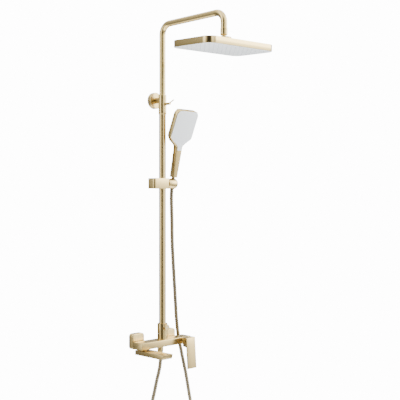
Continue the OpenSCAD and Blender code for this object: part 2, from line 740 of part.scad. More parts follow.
// right edge of the paddle shape between two heights
function paddle_edge(half, tail, l0, l1, n = 8) =
    [for (k = [0:n]) let (l = l0 + (l1 - l0) * k / n) [paddle_half(l, half, tail), l]];

function both_sides(edge) =
    concat(edge, [for (k = [len(edge) - 1:-1:0]) [-edge[k][0], edge[k][1]]]);

// the part above the foot, which leans, and the part below it, which is in line with the handle
module paddle_top(half, tail, top, r, y, t) translate([0, y + t, 0]) rotate([90, 0, 0])
    linear_extrude(t) polygon(both_sides(concat(paddle_edge(half, tail, 0, shoulder_high, 6),
        arc(half - r, top - r, r, 0, 90))));

module paddle_foot(half, tail, low, y, t) translate([0, face_y + y + t, face_z]) rotate([90, 0, 0])
    linear_extrude(t) polygon(both_sides(paddle_edge(half, tail, low, 0, 10)));

module handle_top() translate([0, face_y + 0.8 + (handle_w - 4) / 2, handle_end])
    slab(handle_w + 9, handle_w - 4, 2, 5);

module handset_shell() color(metal) in_cradle() difference() {
    union() {
        hull() {
            translate([0, 0, handle_z]) slab(handle_w, handle_w, 1, 4);
            handle_top();
        }
        hull() {
            handle_top();
            at_face() translate([-30, 2, 12]) cube([60, face_t - 4, 6]);
        }
        at_face() paddle_top(face_w / 2, handle_w / 2 + 4.5, face_len, 20, 0.8, face_t - 0.8);
        paddle_foot(face_w / 2, handle_w / 2 + 4.5, handle_end - face_z + 1, 0.8, 9);
    }
    at_face() paddle_top(face_w / 2 - 2, tail_half + 0.1, face_len - 2, 18, -2, face_t);
    paddle_foot(face_w / 2 - 2, tail_half + 0.1, handle_end - face_z + 1.9, -3, 4.4);
    rod_z(7.6, handle_z - 1, handle_z + 4.2);
    rod_z(6.6, handle_z - 1, handle_end);
    rod_z(3.2, handle_end - 4, face_z + 14, 0, waterway_y);
}

module handset_face() color(white) in_cradle() difference() {
    union() {
        at_face() paddle_top(face_w / 2 - 2.1, tail_half, face_len - 2.1, 17.9, -0.8, 2.2);
        paddle_foot(face_w / 2 - 2.1, tail_half, handle_end - face_z + 2, -0.8, 2.2);
    }
    at_face() for (p = face_holes) rod_y(1.1, -3, 4, p[0], p[1]);
}

face_pitch = 9;
face_rows = [floor((face_w - 20) / face_pitch), floor((face_len - 38) / face_pitch)];
face_holes = [for (i = [0:face_rows[0]], j = [0:face_rows[1]])
    [(i - face_rows[0] / 2) * face_pitch, face_len / 2 + 7 + (j - face_rows[1] / 2) * face_pitch]];

module handset_nozzle_mat() color([0.80, 0.84, 0.88]) in_cradle() at_face() {
    translate([0, 1.4, face_len / 2 + 7]) rotate([90, 0, 0]) translate([0, 0, -1.5])
        slab(face_w - 10, face_len - 26, 1.5, 14);
    for (p = face_holes) translate([p[0], 2.5, p[1]]) rotate([90, 0, 0])
        cylinder(r = 1, h = 4, $fn = 16);
}

module handset_waterway() color(resin) in_cradle() difference() {
    union() {
        rod_z(6.4, handle_z + 4.2, handle_end);
        rod_z(3, handle_end - 3, face_z + 12, 0, waterway_y);
        at_face() translate([0, 0, 7]) face_slab(face_w - 16, face_len - 26, 2, 12, 9);
    }
    rod_z(4.5, handle_z + 3, handle_end - 3);
    rod_z(2, handle_end - 4, face_z + 13, 0, waterway_y);
}

// Hose

// Catmull-Rom point between b and c
function between(a, b, c, d, t) = 0.5 * (2 * b + (c - a) * t + (2 * a - 5 * b + 4 * c - d) * t * t
    + (3 * b - a - 3 * c + d) * t * t * t);
function route_at(i, t) = let (p = hose_route, n = len(p) - 1)
    between(p[max(i - 1, 0)], p[i], p[min(i + 1, n)], p[min(i + 2, n)], t);
function hose_path() = concat([for (i = [0:len(hose_route) - 2], k = [0:hose_steps - 1])
    route_at(i, k / hose_steps)], [hose_route[len(hose_route) - 1]]);
function unit(v) = v / norm(v);
function tube_ring(c, dir, r) = let (side = unit(cross(dir, [0, 1, 0.001])), up = cross(side, dir))
    [for (k = [0:hose_sides - 1]) c + r * cos(360 * k / hose_sides) * side
        + r * sin(360 * k / hose_sides) * up];

module hose() color(metal_dark) {
    path = hose_path();
    n = len(path);
    rings = [for (i = [0:n - 1])
        tube_ring(path[i], unit(path[min(i + 1, n - 1)] - path[max(i - 1, 0)]), hose_d / 2)];
    points = [for (ring = rings) for (p = ring) p];
    sides = [for (i = [0:n - 2], k = [0:hose_sides - 1]) let (m = (k + 1) % hose_sides)
        [i * hose_sides + k, i * hose_sides + m, (i + 1) * hose_sides + m, (i + 1) * hose_sides + k]];
    first = [for (k = [hose_sides - 1:-1:0]) k];
    last = [for (k = [0:hose_sides - 1]) (n - 1) * hose_sides + k];
    polyhedron(points = points, faces = concat(sides, [first, last]), convexity = 10);
}

mixer_body();
hot_union();
cold_union();
hot_union_nut();
cold_union_nut();
union_washers();
hot_escutcheon();
cold_escutcheon();
cartridge();
cartridge_cap();
cartridge_stem();
mixer_lever();
lever_grub_screw();
spout_post();
spout();
spout_o_rings();
aerator();
hose_outlet();
check_valve();
diverter_housing();
diverter_sleeve();
diverter_spindle();
diverter_knob();
diverter_knob_screw();
lower_tube();
riser_sleeve();
riser_seals();
rose_plate();
wall_rose();
rose_stem();
wall_screws();
stem_grub_screw();
lock_lever();
guide_bush();
upper_tube();
ball_stub();
stub_washer();
ball_seat();
head_flange();
head_shell();
head_gasket();
head_face_plate();
head_nozzle_mat();
slider_block();
slider_bush();
slider_screw();
cradle_bolt();
cradle();
cradle_washer();
handset_shell();
handset_face();
handset_nozzle_mat();
handset_waterway();
handset_connector();
handset_washer();
hose_cone_nut();
hose();
hose_nut();
hose_washer();
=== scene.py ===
import math

import bmesh
import bpy
from mathutils import Euler, Matrix, Vector


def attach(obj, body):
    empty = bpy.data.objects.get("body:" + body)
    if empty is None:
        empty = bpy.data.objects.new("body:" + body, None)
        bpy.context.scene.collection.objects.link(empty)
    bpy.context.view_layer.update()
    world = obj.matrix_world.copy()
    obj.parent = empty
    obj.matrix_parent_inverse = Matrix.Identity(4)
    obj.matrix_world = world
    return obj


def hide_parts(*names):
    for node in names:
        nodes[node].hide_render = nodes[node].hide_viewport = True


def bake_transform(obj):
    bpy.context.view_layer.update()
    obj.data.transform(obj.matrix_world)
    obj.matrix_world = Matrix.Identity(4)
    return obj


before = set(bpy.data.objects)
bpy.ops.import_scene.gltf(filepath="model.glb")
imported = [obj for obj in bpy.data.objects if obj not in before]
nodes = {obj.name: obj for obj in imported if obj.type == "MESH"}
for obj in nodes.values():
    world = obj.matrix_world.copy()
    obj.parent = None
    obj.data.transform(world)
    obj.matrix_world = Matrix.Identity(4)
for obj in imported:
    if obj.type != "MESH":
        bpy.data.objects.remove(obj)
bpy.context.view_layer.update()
print("frame loaded,", len(nodes), "nodes")

# where the tilted pieces sit: the head on its ball, the handset in its cradle
headTilt = Euler((math.radians(2), math.radians(-2), 0))
headSeat = Matrix.Translation((0.013, -0.348, 1.024)) @ headTilt.to_matrix().to_4x4()
handsetSeat = Matrix.Translation((0.062, -0.048, 0.555)) @ Matrix.Rotation(math.radians(11.5), 4, "X")


# camera

cameraSettings = {"place": (-1.9215, -2.1571, 0.4961), "turn": -45.21, "lens": 72.14, "sensor": 36}


def setUpCamera():
    lensData = bpy.data.cameras.new("showerCamera")
    lensData.lens = cameraSettings["lens"]
    lensData.sensor_width = cameraSettings["sensor"]
    camera = bpy.data.objects.new("showerCamera", lensData)
    camera.location = cameraSettings["place"]
    camera.rotation_euler = (math.radians(90), 0, math.radians(cameraSettings["turn"]))
    bpy.context.collection.objects.link(camera)
    bpy.context.scene.camera = camera


setUpCamera()
print("camera placed")


# finishes

class Signal:
    # an output socket that can be used in plain arithmetic
    def __init__(self, finish, socket):
        self.finish = finish
        self.socket = socket

    def combine(self, operation, first, second):
        made = self.finish.node("ShaderNodeMath", {"operation": operation}, {0: first, 1: second})
        return Signal(self.finish, made.outputs[0])

    def __add__(self, other):
        return self.combine("ADD", self, other)

    def __radd__(self, other):
        return self.combine("ADD", other, self)

    def __sub__(self, other):
        return self.combine("SUBTRACT", self, other)

    def __rsub__(self, other):
        return self.combine("SUBTRACT", other, self)

    def __mul__(self, other):
        return self.combine("MULTIPLY", self, other)

    def __rmul__(self, other):
        return self.combine("MULTIPLY", other, self)

    def __gt__(self, other):
        return self.combine("GREATER_THAN", self, other)

    def __lt__(self, other):
        return self.combine("LESS_THAN", self, other)


class Finish:
    # one node tree with its shader, for a material or for the room's light
    def __init__(self, owner, shaderType):
        owner.use_nodes = True
        self.owner = owner
        self.tree = owner.node_tree
        self.shader = next(n for n in self.tree.nodes if n.type == shaderType)

    def node(self, kind, settings=None, inputs=None):
        made = self.tree.nodes.new(kind)
        for key, value in (settings or {}).items():
            if key == "stops":
                self.setStops(made.color_ramp, value)
            else:
                setattr(made, key, value)
        for key, value in (inputs or {}).items():
            self.feed(made.inputs[key], value)
        return made

    def feed(self, socket, value):
        if isinstance(value, Signal):
            value = value.socket
        if isinstance(value, bpy.types.NodeSocket):
            self.tree.links.new(value, socket)
        else:
            socket.default_value = value

    def setStops(self, ramp, stops):
        while len(ramp.elements) > 1:
            ramp.elements.remove(ramp.elements[-1])
        ramp.elements[0].position = stops[0][0]
        ramp.elements[0].color = stops[0][1]
        for place, colour in stops[1:]:
            ramp.elements.new(place).color = colour

    def spots(self, scale, detail=2.0):
        # noise from 0 to 1 on the piece's own coordinates; scale is features per metre along x, y and z
        here = self.node("ShaderNodeTexCoord").outputs["Object"]
        stretched = self.node("ShaderNodeMapping", {}, {"Vector": here, "Scale": scale})
        made = self.node(
            "ShaderNodeTexNoise", {}, {"Vector": stretched.outputs[0], "Scale": 1.0, "Detail": detail})
        return Signal(self, made.outputs["Fac"])

    def mixColours(self, amount, first, second):
        made = self.node("ShaderNodeMix", {"data_type": "RGBA"}, {0: amount, 6: first, 7: second})
        return made.outputs[2]

    def bump(self, height, distance):
        made = self.node("ShaderNodeBump", {}, {"Height": height, "Distance": distance})
        self.feed(self.shader.inputs["Normal"], made.outputs[0])


def newFinish(name):
    return Finish(bpy.data.materials.new(name), "BSDF_PRINCIPLED")


def shade(colour, factor):
    return tuple(channel * factor for channel in colour) + (1.0,)


brushedSettings = {
    "gold": (0.585, 0.440, 0.185),
    "shadowGold": (0.290, 0.215, 0.100),
    "hairlines": 2600.0,
    "hairlineRun": 45.0,
}


def brushedMetal(name, colour, grain, roughness, grainDepth=0.000003):
    # fine hairlines along one axis, faint cloudy tone, and slightly duller water marks
    finish = newFinish(name)
    fine = brushedSettings["hairlines"]
    run = brushedSettings["hairlineRun"]
    scale = [run if axis == grain else fine for axis in "xyz"]
    hairs = finish.spots(scale, 3.0)
    clouds = finish.spots((14, 14, 14), 3.0)
    marks = finish.spots((90, 90, 60), 4.0)
    finish.feed(finish.shader.inputs["Base Color"], finish.mixColours(
        hairs * 0.35 + clouds * 0.65, shade(colour, 0.90), shade(colour, 1.10)))
    finish.shader.inputs["Metallic"].default_value = 1.0
    dull = hairs * 0.08 + (marks > 0.62) * 0.03 + clouds * 0.04
    finish.feed(finish.shader.inputs["Roughness"], roughness - 0.06 + dull)
    finish.bump(hairs, grainDepth)
    return finish.owner


def mouldedPlastic(name, colour, roughness, grain, depth):
    finish = newFinish(name)
    pores = finish.spots((grain, grain, grain), 2.0)
    clouds = finish.spots((9, 9, 9), 2.0)
    tone = finish.mixColours(clouds, shade(colour, 0.975), shade(colour, 1.0))
    finish.feed(finish.shader.inputs["Base Color"], tone)
    finish.feed(finish.shader.inputs["Roughness"], roughness + pores * 0.08 + clouds * 0.04)
    finish.shader.inputs["IOR"].default_value = 1.5
    finish.bump(pores, depth)
    return finish.owner


def turnedSteel(name, colour, roughness):
    finish = newFinish(name)
    rings = finish.spots((1800, 1800, 1800), 2.0)
    clouds = finish.spots((40, 40, 40), 2.0)
    tone = finish.mixColours(clouds, shade(colour, 0.85), shade(colour, 1.05))
    finish.feed(finish.shader.inputs["Base Color"], tone)
    finish.shader.inputs["Metallic"].default_value = 1.0
    finish.feed(finish.shader.inputs["Roughness"], roughness + rings * 0.10)
    finish.bump(rings, 0.00002)
    return finish.owner


def spiralHose(name, colour, grooveShadeColour):
    # painted shade darkens the winding's grooves and a painted highlight brightens its crowns
    finish = newFinish(name)
    depth = finish.node("ShaderNodeAttribute", {"attribute_name": "crown"})
    crown = Signal(finish, depth.outputs["Fac"])
    grime = finish.spots((220, 220, 220), 3.0)
    # mask for the painted shade in the grooves and the painted highlight on the crowns, varied at random by
    # the noise
    crownHighlightGrooveShade = crown * crown * (0.75 + grime * 0.5)
    tone = finish.mixColours(crownHighlightGrooveShade, grooveShadeColour + (1.0,), colour + (1.0,))
    finish.feed(finish.shader.inputs["Base Color"], tone)
    finish.shader.inputs["Metallic"].default_value = 1.0
    finish.feed(finish.shader.inputs["Roughness"], 0.46 - crown * 0.16 + grime * 0.08)
    finish.bump(grime, 0.00004)
    return finish.owner


gold = brushedSettings["gold"]
finishes = {
    "goldUpright": brushedMetal("goldBrushedUpright", gold, "z", 0.25),
    "goldAcross": brushedMetal("goldBrushedAcross", gold, "x", 0.30),
    "goldOutward": brushedMetal("goldBrushedOutward", gold, "y", 0.28),
    "goldRim": brushedMetal("goldHeadRim", gold, "x", 0.17),
    "shadowGold": brushedMetal("goldInShadow", brushedSettings["shadowGold"], "z", 0.34),
    "rawBrass": brushedMetal("machinedBrass", (0.58, 0.40, 0.15), "x", 0.36),
    "whiteShell": mouldedPlastic("whiteMouldedShell", (0.88, 0.92, 0.94), 0.30, 1500.0, 0.00001),
    "paleSilicone": mouldedPlastic("paleSiliconeNozzle", (0.50, 0.55, 0.60), 0.48, 2200.0, 0.00002),
    "blackRubber": mouldedPlastic("blackSealRubber", (0.025, 0.025, 0.028), 0.62, 1600.0, 0.00003),
    "ivoryAcetal": mouldedPlastic("ivoryAcetal", (0.70, 0.69, 0.64), 0.38, 1200.0, 0.00002),
    "turnedSteel": turnedSteel("turnedSteel", (0.55, 0.56, 0.57), 0.24),
    # the hose's crown colour, then a darker copy painted into the grooves as shade
    "hoseMetal": spiralHose("spiralHoseMetal", (0.42, 0.355, 0.225), (0.070, 0.058, 0.036)),
}
print("finishes ready")


# modelling helpers

def clearPick():
    if bpy.context.object and bpy.context.object.mode != "OBJECT":
        bpy.ops.object.mode_set(mode="OBJECT")
    bpy.ops.object.select_all(action="DESELECT")


def pickOnly(piece):
    clearPick()
    piece.select_set(True)
    bpy.context.view_layer.objects.active = piece


def applyPlace(piece):
    pickOnly(piece)
    bpy.ops.object.transform_apply(location=True, rotation=True, scale=True)


def block(name, low, high):
    # a box between two corners, as a start
    clearPick()
    middle = [(a + b) / 2 for a, b in zip(low, high)]
    bpy.ops.mesh.primitive_cube_add(size=1, location=middle)
    piece = bpy.context.object
    piece.name = name
    piece.scale = [b - a for a, b in zip(low, high)]
    applyPlace(piece)
    return piece


def rod(name, radius, start, end, sides=48):
    # a round bar between two points, as a start
    clearPick()
    start, end = Vector(start), Vector(end)
    run = end - start
    bpy.ops.mesh.primitive_cylinder_add(
        vertices=sides, radius=radius, depth=run.length, location=(start + end) / 2)
    piece = bpy.context.object
    piece.name = name
    piece.rotation_mode = "QUATERNION"
    piece.rotation_quaternion = run.to_track_quat("Z", "Y")
    applyPlace(piece)
    return piece


def edit(piece, kind, test):
    # opens the piece in edit mode with only the wanted faces, edges or points picked
    pickOnly(piece)
    bpy.ops.object.mode_set(mode="EDIT")
    bpy.ops.mesh.select_mode(type=kind)
    bpy.ops.mesh.select_all(action="DESELECT")
    cage = bmesh.from_edit_mesh(piece.data)
    for part in {"FACE": cage.faces, "EDGE": cage.edges, "VERT": cage.verts}[kind]:
        if test(part):
            part.select_set(True)
    cage.select_flush_mode()
    bmesh.update_edit_mesh(piece.data)


def endEdit():
    bpy.ops.object.mode_set(mode="OBJECT")


def isSharp(edge):
    return edge.calc_face_angle(0) > 1.0


def runsAlong(edge, axis):
    run = (edge.verts[1].co - edge.verts[0].co).normalized()
    return abs(run[axis]) > 0.9


def roundAlong(piece, axis, radius, segments=8):
    # rounds the corners whose edges run along an axis
    edit(piece, "EDGE", lambda e: runsAlong(e, axis) and isSharp(e))
    bpy.ops.mesh.bevel(offset=radius, offset_type="OFFSET", segments=segments, affect="EDGES")
    endEdit()


def softenEdges(piece, width, segments=3, angle=30):
    pickOnly(piece)
    softener = piece.modifiers.new("soften", "BEVEL")
    softener.width = width
    softener.segments = segments
    softener.limit_method = "ANGLE"
    softener.angle_limit = math.radians(angle)
    softener.use_clamp_overlap = True
    bpy.ops.object.modifier_apply(modifier=softener.name)


def cutWith(piece, cutter):
    pickOnly(piece)
    cut = piece.modifiers.new("cut", "BOOLEAN")
    cut.operation = "DIFFERENCE"
    cut.solver = "EXACT"
    cut.object = cutter
    bpy.ops.object.modifier_apply(modifier=cut.name)
    bpy.data.objects.remove(cutter, do_unlink=True)


def joinInto(piece, *others):
    pickOnly(piece)
    for other in others:
        other.select_set(True)
    bpy.ops.object.join()
    return piece


def seat(piece, place):
    piece.matrix_world = place
    applyPlace(piece)


def dress(piece, finish, smoothBelow=32):
    pickOnly(piece)
    bpy.ops.object.shade_smooth_by_angle(angle=math.radians(smoothBelow))
    piece.data.materials.clear()
    piece.data.materials.append(finishes[finish])


def finishPiece(piece, body, slotName, finish, *cadNodes, smoothBelow=32):
    dress(piece, finish, smoothBelow)
    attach(piece, body)
    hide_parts(*cadNodes)


# hose: from the nut under the bar, down round the hanging loop, up behind the bar to the cradle

hoseSettings = {
    "route": [
        (3, -48, -52), (3, -48, -78), (-2, -48, -105), (-14, -48, -142), (-25, -48, -180),
        (-35, -47, -216), (-43, -47, -255), (-47, -46, -295), (-45, -46, -335), (-34, -45, -376),
        (-12, -45, -408), (20, -44, -429), (58, -44, -436), (96, -43, -429), (128, -43, -408),
        (150, -43, -376), (161, -43, -335), (162, -43, -295), (159, -43, -255), (153, -40, -215),
        (143, -34, -145), (137, -27, -100), (132, -21, -62), (127, -16, -25), (121, -13, 15),
        (113, -14, 70), (102, -20, 140), (89, -28, 210), (77, -35, 280), (68, -40, 350),
        (64, -43, 420), (62, -43, 480), (62, -43, 516), (62, -45, 540)],
    "radius": 0.007,
    "grooveDepth": 0.0011,
    "ridgeSpacing": 0.0074,
    "ridgeStarts": 3,
    "ringSpacing": 0.0015,
    "sides": 20,
    "length": 1.5,
}


def smoothRoute(points, steps=24):
    path = []
    last = len(points) - 1
    for i in range(last):
        a, b, c, d = (points[max(i - 1, 0)], points[i], points[i + 1], points[min(i + 2, last)])
        for k in range(steps):
            t = k / steps
            path.append(0.5 * (2 * b + (c - a) * t + (2 * a - 5 * b + 4 * c - d) * t * t
                               + (3 * b - a - 3 * c + d) * t * t * t))
    return path + [points[-1]]


def evenly(path, spacing):
    # the same line with points an even distance apart
    reach = [0.0]
    for a, b in zip(path, path[1:]):
        reach.append(reach[-1] + (b - a).length)
    count = round(reach[-1] / spacing)
    even, i = [], 0
    for k in range(count + 1):
        wanted = reach[-1] * k / count
        while i < len(path) - 2 and reach[i + 1] < wanted:
            i += 1
        share = (wanted - reach[i]) / (reach[i + 1] - reach[i])
        even.append(path[i].lerp(path[i + 1], min(share, 1.0)))
    return even, reach[-1]


def windTube(name, path, radius, settings):
    # a tube with a spiral winding pressed into it, closed at both ends
    sides = settings["sides"]
    points, crowns, faces = [], [], []
    side = Vector((1, 0, 0))
    travelled = 0.0
    for i, centre in enumerate(path):
        ahead = (path[min(i + 1, len(path) - 1)] - path[max(i - 1, 0)]).normalized()
        side = (side - ahead * side.dot(ahead)).normalized()
        up = ahead.cross(side)
        if i:
            travelled += (centre - path[i - 1]).length
        for k in range(sides):
            turn = 2 * math.pi * k / sides
            phase = 2 * math.pi * travelled / settings["ridgeSpacing"] - settings["ridgeStarts"] * turn
            wave = 0.5 + 0.5 * math.cos(phase)
            crown = wave ** 0.55
            out = radius - settings["grooveDepth"] * (1 - crown)
            points.append(centre + side * (out * math.cos(turn)) + up * (out * math.sin(turn)))
            crowns.append(crown)
    rings = len(path)
    for i in range(rings - 1):
        for k in range(sides):
            m = (k + 1) % sides
            faces.append((i * sides + k, i * sides + m, (i + 1) * sides + m, (i + 1) * sides + k))
    faces.append(tuple(range(sides - 1, -1, -1)))
    faces.append(tuple((rings - 1) * sides + k for k in range(sides)))
    mesh = bpy.data.meshes.new(name)
    mesh.from_pydata(points, [], faces)
    mesh.update()
    # the crown height also goes to the finish, which paints shade in the grooves and a highlight on the
    # crowns
    mesh.attributes.new("crown", "FLOAT", "POINT").data.foreach_set("value", crowns)
    tube = bpy.data.objects.new(name, mesh)
    bpy.context.collection.objects.link(tube)
    return tube


def makeHose():
    corners = [Vector(p) / 1000 for p in hoseSettings["route"]]
    path, length = evenly(smoothRoute(corners), hoseSettings["ringSpacing"])
    hose = windTube("showerHose", path, hoseSettings["radius"], hoseSettings)
    dress(hose, "hoseMetal", 60)
    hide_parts("hose")
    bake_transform(hose)
    # the last bit, a short straight tail inside the cone nut
    low, high = handsetSeat @ Vector((0, 0, -0.0155)), handsetSeat @ Vector((0, 0, 0.0035))
    tailPath = [low.lerp(high, k / 26) for k in range(27)]
    tail = windTube("hoseTail", tailPath, 0.0066, hoseSettings)
    dress(tail, "hoseMetal", 60)
    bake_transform(tail)
    path[::4] + [path[-1]]
    print("hose made,", round(length, 3), "m")


makeHose()


# mixer: bar, lever, escutcheons, spout

barSettings = {
    "low": (-0.105, -0.072, -0.023),
    "high": (0.131, -0.024, 0.001),
    "edge": 0.002,
    "bossRadius": 0.015,
    "bossBack": (0.1, -0.060, -0.0115),
    "bossFront": (0.1, -0.076, -0.0115),
    "stubRadius": 0.01028,
}


def makeBar():
    s = barSettings
    bar = block("mixerBar", s["low"], s["high"])
    roundAlong(bar, 0, s["edge"], 4)
    softenEdges(bar, 0.0006, 2)
    boss = rod("cartridgeBoss", s["bossRadius"], s["bossBack"], s["bossFront"], 64)
    softenEdges(boss, 0.0005, 2)
    stubs = []
    for x in (-0.075, 0.075):
        stub = rod("inletStub", s["stubRadius"], (x, -0.0166, -0.011), (x, -0.030, -0.011))
        softenEdges(stub, 0.0004, 2)
        stubs.append(stub)
    joinInto(bar, boss, *stubs)
    finishPiece(bar, "root", "brushed_gold", "goldAcross", "mixer_body")


leverSettings = {
    "middle": 0.1,
    "width": 0.043,
    "front": -0.104,
    "top": 0.002,
    "low": -0.108,
    "thickness": 0.005,
    "lean": 0.008,
    "headDepth": 0.0148,
    "cut": -0.0325,
    "domeRadius": 0.0154,
    "domeMiddle": (0.1, -0.078, -0.0115),
}


def makeLever():
    s = leverSettings
    half = s["width"] / 2
    low = (s["middle"] - half, s["front"], s["low"])
    high = (s["middle"] + half, s["front"] + s["thickness"], s["top"])
    lever = block("mixerLeverPlate", low, high)
    # the plate leans out at its foot
    edit(lever, "VERT", lambda v: v.co.z < -0.1)
    bpy.ops.transform.translate(value=(0, -s["lean"], 0))
    # the head block grows out of the plate's back, above a cut
    bpy.ops.mesh.select_all(action="SELECT")
    bpy.ops.mesh.bisect(plane_co=(0, 0, s["cut"]), plane_no=(0, 0, 1))
    endEdit()
    edit(lever, "FACE", lambda f: f.normal.y > 0.9 and f.calc_center_median().z > -0.03)
    bpy.ops.mesh.extrude_region_move(TRANSFORM_OT_translate={"value": (0, s["headDepth"], 0)})
    endEdit()
    edit(lever, "FACE", lambda f: f.normal.y > 0.9 and f.calc_center_median().z > -0.03)
    bpy.ops.transform.resize(value=(1, 0, 1), center_override=(0, -0.084, 0))
    endEdit()
    edit(lever, "VERT", lambda v: v.co.y > -0.085 and v.co.z < -0.03)
    bpy.ops.transform.translate(value=(0, 0, 0.003))
    endEdit()
    softenEdges(lever, 0.0009, 3, 25)
    clearPick()
    bpy.ops.mesh.primitive_uv_sphere_add(
        segments=48, ring_count=24, radius=s["domeRadius"], location=s["domeMiddle"])
    cutWith(lever, bpy.context.object)
    finishPiece(lever, "lever", "brushed_gold", "goldUpright", "mixer_lever")


escutcheonSettings = {
    "half": 0.0275,
    "depth": 0.020,
    "corner": 0.011,
    "rim": 0.0028,
    "wall": 0.0015,
    "hollow": 0.0182,
    "covers": [
        (-0.075, "hotEscutcheonCover", "hot_escutcheon"),
        (0.075, "coldEscutcheonCover", "cold_escutcheon"),
    ],
}


def makeEscutcheons():
    s = escutcheonSettings
    for x, name, cadNode in s["covers"]:
        cover = block(name, (x - s["half"], -s["depth"], -s["half"]), (x + s["half"], 0, s["half"]))
        roundAlong(cover, 1, s["corner"], 10)
        # hollow it from the wall side
        edit(cover, "FACE", lambda f: f.normal.y > 0.9)
        bpy.ops.mesh.inset(thickness=s["wall"])
        bpy.ops.mesh.extrude_region_move(TRANSFORM_OT_translate={"value": (0, -s["hollow"], 0)})
        endEdit()
        edit(cover, "EDGE", lambda e: all(v.co.y < -s["depth"] + 1e-5 for v in e.verts) and isSharp(e))
        bpy.ops.mesh.bevel(offset=s["rim"], segments=5, affect="EDGES")
        endEdit()
        finishPiece(cover, "root", "brushed_gold", "goldUpright", cadNode)


spoutSettings = {
    "middle": -0.075,
    "width": 0.046,
    "back": -0.027,
    "front": -0.172,
    "top": -0.0275,
    "low": -0.0435,
    "slant": 0.005,
    "wellRadius": 0.0092,
    "wellPlace": -0.155,
}


def makeSpout():
    s = spoutSettings
    half = s["width"] / 2
    low = (s["middle"] - half, s["front"], s["low"])
    high = (s["middle"] + half, s["back"], s["top"])
    spout = block("bathSpout", low, high)
    edit(spout, "VERT", lambda v: v.co.y < -0.17 and v.co.z < -0.04)
    bpy.ops.transform.translate(value=(0, s["slant"], 0))
    endEdit()
    softenEdges(spout, 0.0009, 3, 25)
    mouth = (s["middle"], s["wellPlace"], -0.0345)
    below = (s["middle"], s["wellPlace"], -0.050)
    well = rod("aeratorWell", s["wellRadius"], mouth, below)
    cutWith(spout, well)
    finishPiece(spout, "bath_spout", "brushed_gold", "goldOutward", "spout")


makeBar()
makeLever()
makeEscutcheons()
makeSpout()
print("mixer made")


# slider block and cradle

sliderSettings = {
    "low": (-0.042, -0.067, 0.5365),
    "high": (0.033, -0.029, 0.5735),
    "corner": 0.008,
    "edge": 0.0011,
}
cradleSettings = {"start": 0.0335, "end": 0.078, "radius": 0.0179, "dome": 0.0098}


def makeSlider():
    s = sliderSettings
    slider = block("sliderBlock", s["low"], s["high"])
    roundAlong(slider, 2, s["corner"], 8)
    softenEdges(slider, s["edge"], 3)
    cutWith(slider, rod("riserWay", 0.0128, (0.013, -0.048, 0.52), (0.013, -0.048, 0.59), 96))
    finishPiece(slider, "slider", "gold_plated_abs", "goldAcross", "slider_block")


def makeCradle():
    s = cradleSettings
    cradle = rod("handsetCradle", s["radius"], (s["start"], -0.048, 0.555), (s["end"], -0.048, 0.555), 96)
    edit(cradle, "EDGE", lambda e: all(v.co.x > s["end"] - 1e-4 for v in e.verts))
    bpy.ops.mesh.bevel(offset=s["dome"], segments=12, affect="EDGES")
    endEdit()
    softenEdges(cradle, 0.0007, 2, 50)
    clearPick()
    bpy.ops.mesh.primitive_cone_add(vertices=64, radius1=0.0083, radius2=0.0113, depth=0.06)
    cone = bpy.context.object
    seat(cone, handsetSeat)
    cutWith(cradle, cone)
    finishPiece(cradle, "cradle", "gold_plated_abs", "goldAcross", "cradle")


makeSlider()
makeCradle()
print("slider made")


# handset: one lofted shell, a white paddle face let into its front, soft nozzles

handsetSettings = {
    "foot": 0.158,
    "faceLine": -0.0115,
    "lean": 12,
    "top": 0.112,
    "shoulderLow": -0.026,
    "shoulderHigh": 0.014,
    "shellHalf": 0.052,
    "shellCorner": 0.020,
    "faceHalf": 0.0499,
    "faceCorner": 0.0179,
    "tailHalf": 0.0095,
    # the handle's height, half width, front and back, from the bottom up
    "handle": [
        (0.0243, 0.0105, -0.0105, 0.0105),
        (0.060, 0.0122, -0.0106, 0.0089),
        (0.095, 0.0138, -0.0107, 0.0074),
    ],
}


def paddleHalf(height, half, tail):
    s = handsetSettings
    share = min(max((height - s["shoulderLow"]) / (s["shoulderHigh"] - s["shoulderLow"]), 0), 1)
    return tail + (half - tail) * (1 - math.cos(math.pi * share)) / 2


def paddleStations(half, tail, top, corner, front, back, low, backAtTail):
    # heights with half widths and the front and back lines, from the tail up
    s = handsetSettings
    made = []
    for k in range(14):
        height = low + (s["shoulderHigh"] - low) * k / 13
        share = min(max((height - low) / (s["shoulderHigh"] - low), 0), 1)
        backHere = backAtTail + (back - backAtTail) * share
        made.append((s["foot"] + height, paddleHalf(height, half, tail), front, backHere))
    made.append((s["foot"] + 0.055, half, front, back))
    for k in range(9):
        turn = math.pi / 2 * k / 8.3
        z = s["foot"] + top - corner + corner * math.sin(turn)
        made.append((z, half - corner + corner * math.cos(turn), front, back))
    return made


def loft(name, stations):
    z0, half0, front0, back0 = stations[0]
    z1 = stations[1][0]
    piece = block(name, (-half0, front0, z0), (half0, back0, z1))
    heightNow, halfNow, frontNow, backNow = z1, half0, front0, back0
    for k, (z, half, front, back) in enumerate(stations[1:]):
        edit(piece, "FACE", lambda f: f.normal.z > 0.9 and f.calc_center_median().z > heightNow - 1e-5)
        if k:
            bpy.ops.mesh.extrude_region_move(TRANSFORM_OT_translate={"value": (0, 0, z - heightNow)})
        middle = (front + back) / 2
        bpy.ops.transform.translate(value=(0, middle - (frontNow + backNow) / 2, 0))
        stretch = (half / halfNow, (back - front) / (backNow - frontNow), 1)
        bpy.ops.transform.resize(value=stretch, center_override=(0, middle, z))
        endEdit()
        heightNow, halfNow, frontNow, backNow = z, half, front, back
    return piece


def leanFace(piece):
    # everything above the foot leans out over the handle's front
    s = handsetSettings
    edit(piece, "VERT", lambda v: v.co.z > s["foot"] + 1e-4)
    hinge = (0, s["faceLine"], s["foot"])
    bpy.ops.transform.rotate(value=-math.radians(s["lean"]), orient_axis="X", center_override=hinge)
    endEdit()


def isLongEdge(edge):
    # sharp, not at the handle's open end, and not running from front to back
    a, b = edge.verts
    return isSharp(edge) and max(a.co.z, b.co.z) >= 0.025 and abs(a.co.y - b.co.y) < 0.003


